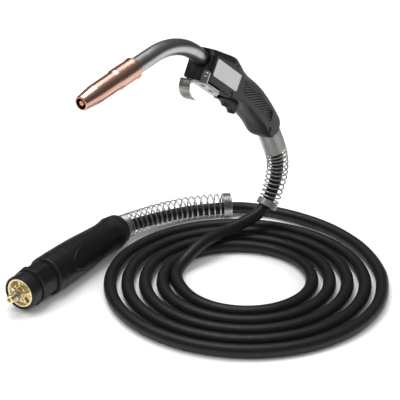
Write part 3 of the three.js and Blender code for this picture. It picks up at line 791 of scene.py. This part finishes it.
def socket_screw(name, place, head_r, head_h, shank_r, shank, paint):
    """A domed screw with a hexagonal socket; local x points out of its head."""
    profile = [[-shank, 0], [-shank, shank_r], [0, shank_r], [0, head_r], [head_h * 0.6, head_r, 0.5],
               [head_h, head_r * 0.6, 0.8], [head_h, 0]]
    screw = lathe(name, profile, place, paint, segments=48, radius=0.15, closed=False)
    corners = [math.radians(60 * k) for k in range(6)]
    hexagon = [(0.5 * head_r * math.cos(a), 0.5 * head_r * math.sin(a)) for a in corners]
    socket = prism("socket", hexagon, 2, place, paint, edge=0, centre=head_h + 0.4, axis="X")
    return combine(screw, socket, "DIFFERENCE")


CASE_SCREW_Y = -15.6
# The case screws take the dark steel whose dark colour is painted shade for their counterbores.
for number, (x, z) in enumerate(HANDLE_SCREWS, 1):
    at = HEAD @ move(x, CASE_SCREW_Y, z) @ SIDEWAYS
    screw = socket_screw("case_screw_%d" % number, at, 2.6, 1.6, 1.3, 8, SCREW_SHADE_STEEL)
    finish_piece(screw, ["handle_screw_%d" % number])

PLATE_BOX = [(10.5, -16.2), (10.5, 4.3), (69.5, 4.3), (69.5, -16.2)]
PLATE_CORNER = 2.4
PLATE_Y = -18.45
plate = prism("blank_plate", rounded(PLATE_BOX, PLATE_CORNER, 6), 0.4, HEAD, PLATE, edge=0.18, centre=PLATE_Y)
settle(plate)
finish_piece(plate, ["side_plate"])

MOUTH_COLLAR = [
    [-12, 9.6], [-12, 14.6], [-3, 14.6], [-2.4, 15.2, 0.4], [2.6, 15.2, 0.8], [2.6, 13.2, 0.4], [-2, 9.6],
]
mouth_collar = lathe("mouth_collar", MOUTH_COLLAR, MOUTH, RUBBER)
finish_piece(mouth_collar, ["rear_collar"])

# ---------- trigger ----------
TRIGGER_TOP = -21.3
TRIGGER_HALF = 4.75
PIVOT = (72, -18.5)
PIVOT_BORE_R = 1.35
EAR_R = 2.6
TRIGGER_REAR = [(102, -35.3), (98.6, -33.4), (93.5, -32.2), (88.5, -32.3)]
TRIGGER_FRONT = [(85, -32.8), (80.5, -30.5), (75, -29.1), (69.5, -29.2)]


def plane_curve(points, per_span=6):
    return [(p.x, p.z) for p in catmull_rom([Vector((x, 0, z)) for x, z in points], per_span)]


def trigger_outline():
    """The trigger from the side, with two scallops for the fingers and an ear round its pivot."""
    heel = [(106, TRIGGER_TOP), (106.3, -30.5, 1.5), (104.8, -36.3, 0.8), (103.6, -36.4, 0.6)]
    ridge = [(86.6, -33.3, 0.5)]
    nose = [(64.8, -30.3, 0.5), (62.4, -29.8, 0.8), (62, -27.6, 0.6), (68.2, -27.3)]
    x, z = PIVOT
    ear = [(69.2, -25.8), (69.4, z)]
    ear += [(x - EAR_R * math.cos(a), z + EAR_R * math.sin(a)) for a in map(math.radians, range(20, 180, 20))]
    rear, front = plane_curve(TRIGGER_REAR), plane_curve(TRIGGER_FRONT)
    return rounded(heel + rear + ridge + front + nose + ear + [(77, TRIGGER_TOP)], 0.3)


trigger = prism("finger_trigger", trigger_outline(), TRIGGER_HALF, HEAD, PLASTIC, edge=0.7, steps=4)
settle(trigger)
combine(trigger, rod("pivot_bore", HEAD, *PIVOT, PIVOT_BORE_R, -6, 6, PLASTIC), "DIFFERENCE")
smooth(trigger, 38)
finish_piece(trigger, ["trigger"], "trigger")

# ---------- hanging hook ----------
# A plate under the handle, an ear up the front of it, and a strip rolled into a hook.
HOOK_PLATE = [
    (1.7, -18, 1.5), (36, -18, 5), (60, -1, 3), (60, 5, 2), (16, 5, 1), (16, 19, 0.4), (5.5, 19, 0.4),
    (5.5, 5, 1), (1.7, 5, 1.5),
]
HOOK_PLATE_Z = -28.3
HOOK_EAR = [(-19.5, -29.3, 0.8), (-19.5, -13.5, 4.4), (-10, -13.5, 4.4), (-10, -29.3, 0.3)]
HOOK_EAR_X = 2.7
HOOK_OUTER = [(5.5, -28.2), (6.2, -34), (9, -40), (15, -44), (22, -45.8), (27, -46.3)]
HOOK_TIP = (28, -45.4)
HOOK_INNER = [(27.4, -44.4), (22, -43.8), (16, -42.1), (10.9, -38.9), (8.3, -33.6), (7.6, -28.2)]
HOOK_HALF_THICKNESS = 1
HOOK_STRIP_HALF = 7
HOOK_STRIP_Y = 12
HOOK_HOLES = [(17, -6), (36, -6)]
HOOK_HOLE_R = (3.4, 3.0)


def hook():
    def part(name, outline, half, centre, axis):
        return prism(name, outline, half, HEAD, BRIGHT_STEEL, edge=0, centre=centre, axis=axis)

    body = part("hook", rounded(HOOK_PLATE, 0.5, 4), HOOK_HALF_THICKNESS, HOOK_PLATE_Z, "Z")
    combine(body, part("ear", rounded(HOOK_EAR, 1, 10), HOOK_HALF_THICKNESS, HOOK_EAR_X, "X"), "UNION")
    strip = plane_curve(HOOK_OUTER, 8) + [HOOK_TIP] + plane_curve(HOOK_INNER, 8)
    combine(body, part("rolled", strip, HOOK_STRIP_HALF, HOOK_STRIP_Y, "Y"), "UNION")
    for x, y in HOOK_HOLES:
        angles = map(math.radians, range(0, 360, 12))
        oval = [(x + HOOK_HOLE_R[0] * math.cos(a), y + HOOK_HOLE_R[1] * math.sin(a)) for a in angles]
        combine(body, part("hole", oval, 3, HOOK_PLATE_Z, "Z"), "DIFFERENCE")
    add_bevel(body, 0.3, limit=50)
    settle(body)
    smooth(body, 35)
    return body


finish_piece(hook(), ["hanging_hook"])
EAR_SCREW = HEAD @ move(1.6, -15.5, -19) @ turn(180, "Z")
ear_screw = socket_screw("ear_screw", EAR_SCREW, 3.0, 2.0, 1.2, 0.2, BRIGHT_STEEL)
finish_piece(ear_screw, ["hook_screw"])


# ---------- spring guards ----------
def framed(points):
    """Each point with two directions square to the line, without twist."""
    out = []
    side = None
    for i, p in enumerate(points):
        before, after = points[max(i - 1, 0)], points[min(i + 1, len(points) - 1)]
        tangent = (after - before).normalized()
        if side is None:
            side = tangent.orthogonal().normalized()
        side = (side - tangent * side.dot(tangent)).normalized()
        out.append((p, side, tangent.cross(side)))
    return out


def spring(name, points, radius_of, plan, thick):
    """A wound wire along the points. plan: (share of the length, number of turns) one after another."""
    per_turn = 28
    frames = framed(resample(points, 0.0004))
    line = []
    done, angle = 0.0, 0.0
    for share, turns in plan:
        steps = int(turns * per_turn)
        for i in range(steps):
            t = done + share * i / steps
            at = t * (len(frames) - 1)
            first = min(int(at), len(frames) - 2)
            p, side, over = (a.lerp(b, at - first) for a, b in zip(frames[first], frames[first + 1]))
            r = radius_of(t) * MM
            a = angle + 2 * math.pi * turns * i / steps
            line.append(p + side * (r * math.cos(a)) + over * (r * math.sin(a)))
        done += share
        angle += 2 * math.pi * turns
    return wire(name, line, thick * MM, 3, SPRING_STEEL)


def in_row(points):
    """Points in the torch's millimetres, moved into the scene in metres."""
    return [(Vector(p) + SHIFT) * MM for p in points]


CLOSED_PITCH = 1.84


def closed_turns(share, line):
    """The number of turns that lie against each other in a share of the line."""
    return round(share * length_of(line) / MM / CLOSED_PITCH)


HANDLE_SPRING_R = 13.9
HANDLE_SPRING_STEP = 0.4  # the open turns are this much narrower than the closed ones at the handle
CONNECTOR_SPRING_R = 15.3
HANDLE_SPRING_LINE = catmull_rom(in_row([
    (156.6, -80.3, 159.6), (163, -80.3, 148.5), (172.5, -80.3, 132.1), (181, -80, 116),
    (185.3, -79.2, 99.5), (185.6, -77.5, 84), (182.8, -75.3, 68.4), (177.8, -73.2, 54), (171, -71.3, 43.3),
]), 20)
CONNECTOR_SPRING_LINE = catmull_rom(in_row([
    (28, 72.3, 23.1), (38, 72.9, 22.8), (56, 72, 21.2), (78, 68.5, 19.6), (103.2, 62.8, 18.3),
    (127, 55, 17.2), (148.5, 45.2, 16.6), (166.6, 32.6, 16.5), (182.6, 18.5, 16.5), (198, 2, 16.5),
]), 20)
handle_spring = spring(
    "torch_spring", HANDLE_SPRING_LINE,
    lambda t: HANDLE_SPRING_R - HANDLE_SPRING_STEP * smooth_step((t - 0.28) / 0.2),
    [
        (0.28, closed_turns(0.28, HANDLE_SPRING_LINE)), (0.65, 12),
        (0.07, closed_turns(0.07, HANDLE_SPRING_LINE)),
    ],
    thick=0.98,
)
finish_piece(handle_spring, ["handle_spring_guard"])
connector_spring = spring(
    "connector_spring", CONNECTOR_SPRING_LINE, lambda t: CONNECTOR_SPRING_R,
    [(0.11, closed_turns(0.11, CONNECTOR_SPRING_LINE)), (0.83, 18), (0.06, 5)], thick=1.1,
)
finish_piece(connector_spring, ["connector_spring_guard"])


# ---------- machine connector ----------
def polar(name, stations, shape, bore, start=0.0, sweep=2 * math.pi, segments=160, sharp=32, aside=0.0):
    """A moulded tube of the connector, about x. Its outside radius is shape(x, angle).
    start and sweep pick a part of the way round, and aside moves that part along y."""
    whole = abs(sweep - 2 * math.pi) < 1e-6
    columns = segments if whole else segments + 1
    angles = [start + sweep * k / segments for k in range(columns)]
    line = [(x, shape) for x in stations] + [(x, lambda _x, _a: bore) for x in reversed(stations)]
    verts = []
    for x, radius_of in line:
        for a in angles:
            r = radius_of(x, a)
            verts.append((x, r * math.cos(a), r * math.sin(a)))
    rows = len(line)
    faces = []
    for i in range(rows):
        here, there = i * columns, (i + 1) % rows * columns
        for k in range(segments):
            n = (k + 1) % columns
            faces.append((here + k, here + n, there + n, there + k))
    if not whole:
        for k in (0, columns - 1):
            for i in range(len(stations) - 1):
                j = rows - 1 - i
                faces.append((i * columns + k, (i + 1) * columns + k, (j - 1) * columns + k, j * columns + k))
    return add_object(name, verts, faces, CONNECTOR @ move(0, aside, 0), PLASTIC, sharp=sharp)


def stations_of(table, step):
    """The table's own places, and more between them."""
    out = [table[0][0]]
    for (a, _), (b, _) in zip(table, table[1:]):
        parts = max(1, round((b - a) / step))
        out += [a + (b - a) * k / parts for k in range(1, parts + 1)]
    return out


# The housing: its radius along x, two raised grip panels with a fine line round each, and a ring line.
HOUSING = [
    (48.5, 22.6), (49.3, 24.0), (50.2, 24.4), (60.4, 24.6), (61.0, 24.0), (62.2, 24.0), (63.0, 24.6),
    (84, 24.5), (100, 24.3), (116, 23.9), (132, 23.0), (148, 21.9), (162, 21.2), (174, 20.9), (181, 21.2),
    (184.6, 21.8), (186, 21.4),
]
HOUSING_BORE_R = 18.4
PANEL_START, PANEL_END = 80, 182
PANEL_MIDDLES = (-20, 160)  # degrees round the housing
PANEL_HALF = 46  # degrees
PANEL_DROP = 0.55
PANEL_SOFT = 9
LINE_DEPTH = 0.75
LINE_WIDTH = 0.55
ARC_PER_DEGREE = 0.42
SEAM_X = 79.5
SEAM_DEPTH = 0.45
SEAM_WIDTH = 0.5


def panel_edge(x):
    """Half the width of a grip panel, in degrees, at a place along the housing."""
    if x < PANEL_START or x > PANEL_END:
        return 0
    t = (x - PANEL_START) / (PANEL_END - PANEL_START)
    return PANEL_HALF * math.sin(math.pi * min(t * 1.15 + 0.06, 1)) ** 0.75


def housing_radius(x, a):
    radius = along_table(HOUSING, x)
    edge = panel_edge(x)
    if edge > 0:
        for middle in PANEL_MIDDLES:
            off = abs((math.degrees(a) - middle + 180) % 360 - 180)
            gap = (edge - off) * ARC_PER_DEGREE
            radius -= LINE_DEPTH * math.exp(-(gap / LINE_WIDTH) ** 2) * smooth_step(edge / 8)
            radius -= PANEL_DROP * smooth_step(gap / PANEL_SOFT)
    return radius - SEAM_DEPTH * math.exp(-(abs(x - SEAM_X) / SEAM_WIDTH) ** 2)


for name, side, replaced in (
    ("housing_left", -1, "connector_shell_left"), ("housing_right", 1, "connector_shell_right"),
):
    shell = polar(name, stations_of(HOUSING, 0.7), housing_radius, HOUSING_BORE_R, start=-side * math.pi / 2,
                  sweep=math.pi, segments=150, aside=GROOVE * side)
    finish_piece(shell, [replaced])

END_COLLAR = [
    [186.3, 17.5], [186.3, 20.8], [187.2, 22.2, 0.6], [189, 22.5, 0.8], [192.5, 22.3, 0.8], [194, 21.9, 0.6],
    [200, 21.4, 1], [205, 20.6, 1], [206, 19.6], [206, 17.5],
]
end_collar = lathe("housing_end_collar", END_COLLAR, CONNECTOR, RUBBER)
finish_piece(end_collar, ["connector_rear_collar"])

# The union nut: an octagon with its corners rounded off, as place along x, distance of the flats from the
# middle, and the largest radius. A shallow groove runs along each corner.
NUT = [
    (17.6, 21.4, 22.2), (18.4, 22.4, 23.8), (19.4, 22.7, 24.4), (23.4, 22.7, 24.4), (24.4, 22.0, 23.4),
    (25.2, 20.8, 21.8), (26.2, 20.7, 22.1), (44.0, 21.0, 22.6), (45.0, 20.2, 21.2), (46.6, 19.6, 20.4),
    (47.9, 19.6, 20.2),
]
NUT_FLATS = [(x, flat) for x, flat, _ in NUT]
NUT_LIMITS = [(x, limit) for x, _, limit in NUT]
NUT_BORE_R = 18.9
NUT_GROOVE_START, NUT_GROOVE_END = 26.2, 44.5
NUT_GROOVE_FADE = (33, 3)
NUT_GROOVE_DEPTH = 0.5
NUT_GROOVE_PLACE = 0.93  # from the middle of a flat, 0, to the corner, 1
NUT_GROOVE_WIDTH = 0.25
EIGHTH = math.radians(45)


def nut_radius(x, a):
    off = (a + EIGHTH / 2) % EIGHTH - EIGHTH / 2
    radius = along_table(NUT_FLATS, x) / math.cos(off)
    if NUT_GROOVE_START < x < NUT_GROOVE_END:
        beside = abs(abs(off) / (EIGHTH / 2) - NUT_GROOVE_PLACE)
        fade = smooth_step((x - NUT_GROOVE_FADE[0]) / NUT_GROOVE_FADE[1])
        radius -= NUT_GROOVE_DEPTH * smooth_step((NUT_GROOVE_WIDTH - beside) / NUT_GROOVE_WIDTH) * fade
    return min(radius, along_table(NUT_LIMITS, x))


nut = polar("union_nut_moulded", stations_of(NUT_FLATS, 1.0), nut_radius, NUT_BORE_R, segments=192, sharp=25)
finish_piece(nut, ["union_nut"], "union_nut")

PLUG_RING = [[-2, 18.8], [-2, 20.4, 0.8], [-1, 21.2, 0.8], [15, 21.2, 0.6], [15, 18.8]]
finish_piece(lathe("plug_shroud", PLUG_RING, CONNECTOR, PLASTIC), ["plug_ring"])

# The brass face: a rim, a sunk ring with bars, bosses and studs in it, and a raised middle.
PLUG_FACE = [
    [62, 0], [62, 14], [18, 14], [18, 18.4], [0, 18.4, 0.6], [-0.8, 17.9, 0.5], [-0.8, 15.9, 0.4],
    [0.4, 15.2, 0.4], [2.6, 15.0, 0.5], [2.6, 8.4, 0.5], [1.2, 8.2, 0.4], [0, 7.4, 0.4], [0, 5.4, 0.3],
    [1.6, 5.1], [1.6, 0],
]
BAR = [(8, -1.1), (15.4, -1.1), (15.4, 1.1), (8, 1.1)]
BAR_HALF = 1.9
BAR_X = 1.6
BAR_DEGREES = (14, 88, 166, 232, 300)
BOSS = [[4.6, 0], [4.6, 3.3], [0.6, 3.3, 0.4], [0.6, 1.9, 0.3], [2.4, 1.9], [2.4, 0]]
BOSS_Y = 11.7
BOSS_DEGREES = (40, 142)
STUD = [[4.6, 0], [4.6, 2.2], [2.2, 2.2, 0.5], [1.6, 1.2, 0.4], [1.6, 0]]
STUD_Y = 11.6
STUD_DEGREES = (198, 266, 335)


def plug():
    parts = [lathe("plug_brass", PLUG_FACE, CONNECTOR, BRASS, closed=False)]
    for degrees in BAR_DEGREES:
        place = CONNECTOR @ turn(degrees, "X")
        parts.append(prism("bar", BAR, BAR_HALF, place, BRASS, edge=0.35, centre=BAR_X, axis="X"))
    for name, profile, y, angles, segments in (
        ("boss", BOSS, BOSS_Y, BOSS_DEGREES, 40), ("stud", STUD, STUD_Y, STUD_DEGREES, 32),
    ):
        for degrees in angles:
            place = CONNECTOR @ turn(degrees, "X") @ move(0, y, 0)
            parts.append(lathe(name, profile, place, BRASS, segments, radius=0.2, closed=False))
    return join("plug_brass_face", parts)


finish_piece(plug(), ["plug_body"])

# The pin that carries the gas and the wire, in three pieces one before the other.
GUIDE_BASE = [[29, 1.4], [29, 5], [0, 5], [-0.4, 6.6, 0.5], [-4.5, 6.6, 0.5], [-5, 5.8, 0.3], [-5, 1.4]]
GUIDE_RING = [[-5.05, 1.4], [-5.05, 6.2, 0.3], [-12.0, 6.2, 0.9], [-12.6, 5.0, 0.4], [-12.6, 1.4]]
GUIDE_TIP = [
    [-12.65, 1.4], [-12.65, 4.6, 0.4], [-15.8, 4.6, 0.5], [-16.4, 5.2, 0.4], [-21, 5.0, 0.9],
    [-21, 2.5, 0.4], [-19.0, 1.9],
]
for name, profile, paint, slot in (
    ("guide_base", GUIDE_BASE, BRASS, "brass"), ("guide_ring", GUIDE_RING, PIN_STEEL, "steel"),
    ("guide_tip", GUIDE_TIP, BRASS, "brass"),
):
    finish_piece(lathe(name, profile, CONNECTOR, paint, segments=64, radius=0.2), ["wire_guide_pin"])

CONTACT_PIN = [[17.8, 0], [17.8, 1.6], [-5.5, 1.6, 0.3], [-6.6, 1.1, 0.4], [-7, 0.5], [-7, 0]]
CONTACT_PIN_Z = 8.5
for number, y in ((1, -9.5), (2, 9.5)):
    place = CONNECTOR @ move(0, y, CONTACT_PIN_Z)
    pin = lathe("contact_pin_%d" % number, CONTACT_PIN, place, BRASS, segments=32, radius=0.2, closed=False)
    finish_piece(pin, ["control_pin_%d" % number], "control_pin_%d" % number)

# ---------- materials of the inner pieces that keep their CAD shape ----------
KEPT = {
    "neck_conductor": RED_COPPER,
    "wire_liner": GREY_PLASTIC,
    "neck_clamp_block": BRASS,
    "cable_crimp": RED_COPPER,
    "trigger_pin": STEEL,
    "switch_bracket": STEEL,
    "switch_body": PLASTIC,
    "switch_plunger": GREY_PLASTIC,
    "trigger_spring": SPRING_STEEL,
    "nozzle_insulator": PHENOLIC,
    "gas_diffuser": BRASS,
    "cable_stem": STEEL,
    "shell_screw": STEEL,
}
for name, paint in KEPT.items():
    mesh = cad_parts[name].data
    mesh.materials.clear()
    mesh.materials.append(paint)


# ---------- floor and light, in metres ----------
FLOOR_HALF = 6.0
FLOOR_Z = -0.0002
FLOOR_TONE = (0.93, 0.93, 0.93, 1)
STUDIO_WALLS, STUDIO_MIDDLE, STUDIO_TOP = 0.10, 0.16, 0.55  # greys that polished metal reflects
STUDIO_MIDDLE_PLACE = 0.55
STUDIO_STRENGTH = 0.62


def add_floor():
    mesh = bpy.data.meshes.new("floor")
    corners = [(x * FLOOR_HALF, y * FLOOR_HALF, 0) for x, y in ((-1, -1), (1, -1), (1, 1), (-1, 1))]
    mesh.from_pydata(corners, [], [(0, 1, 2, 3)])
    floor = bpy.data.objects.new("floor", mesh)
    bpy.context.scene.collection.objects.link(floor)
    paint = bpy.data.materials.new("pale_floor")
    paint.use_nodes = True
    shader = paint.node_tree.nodes["Principled BSDF"]
    shader.inputs["Base Color"].default_value = FLOOR_TONE
    shader.inputs["Roughness"].default_value = 0.85
    shader.inputs["Specular IOR Level"].default_value = 0.1
    mesh.materials.append(paint)
    floor.location.z = FLOOR_Z


def add_light(name, place, aim, size, power, shiny=False):
    """A square light at a place, turned to the aim. Polished metal shows it only if it is shiny."""
    data = bpy.data.lights.new(name, "AREA")
    data.shape = "SQUARE"
    data.size = size
    data.energy = power
    light = bpy.data.objects.new(name, data)
    bpy.context.scene.collection.objects.link(light)
    light.location = place
    light.rotation_mode = "QUATERNION"
    light.rotation_quaternion = (Vector(aim) - Vector(place)).to_track_quat("-Z", "Y")
    light.visible_glossy = shiny


def add_world():
    """White light all round, seen in polished metal as a grey studio that is darker towards its walls."""
    world = bpy.data.worlds.new("studio")
    bpy.context.scene.world = world
    world.use_nodes = True
    tree = world.node_tree
    back = tree.nodes["Background"]
    split = node(tree, "ShaderNodeSeparateXYZ")
    tree.links.new(node(tree, "ShaderNodeTexCoord").outputs["Generated"], split.inputs[0])
    ramp = node(tree, "ShaderNodeValToRGB")
    tree.links.new(ranged(tree, split.outputs[2], 0, 1, 0, 1), ramp.inputs[0])
    stops = ramp.color_ramp.elements
    stops.new(STUDIO_MIDDLE_PLACE)
    for stop, grey in zip(stops, (STUDIO_WALLS, STUDIO_MIDDLE, STUDIO_TOP)):
        stop.color = (grey, grey, grey, 1)
    glossy = node(tree, "ShaderNodeLightPath").outputs["Is Glossy Ray"]
    tree.links.new(tinted(tree, glossy, (1, 1, 1), ramp.outputs[0]), back.inputs["Color"])
    back.inputs["Strength"].default_value = STUDIO_STRENGTH


bpy.context.scene.view_settings.view_transform = "Standard"
add_floor()
add_world()
add_light("top_light", (0.1, 0.4, 2.2), (0, 0, 0), 1.6, 34, shiny=True)
add_light("left_light", (-1.6, 0.9, 1.3), (0, 0, 0.1), 0.9, 12)
add_light("right_light", (1.5, -1.2, 1.5), (0, 0, 0.1), 0.8, 10)
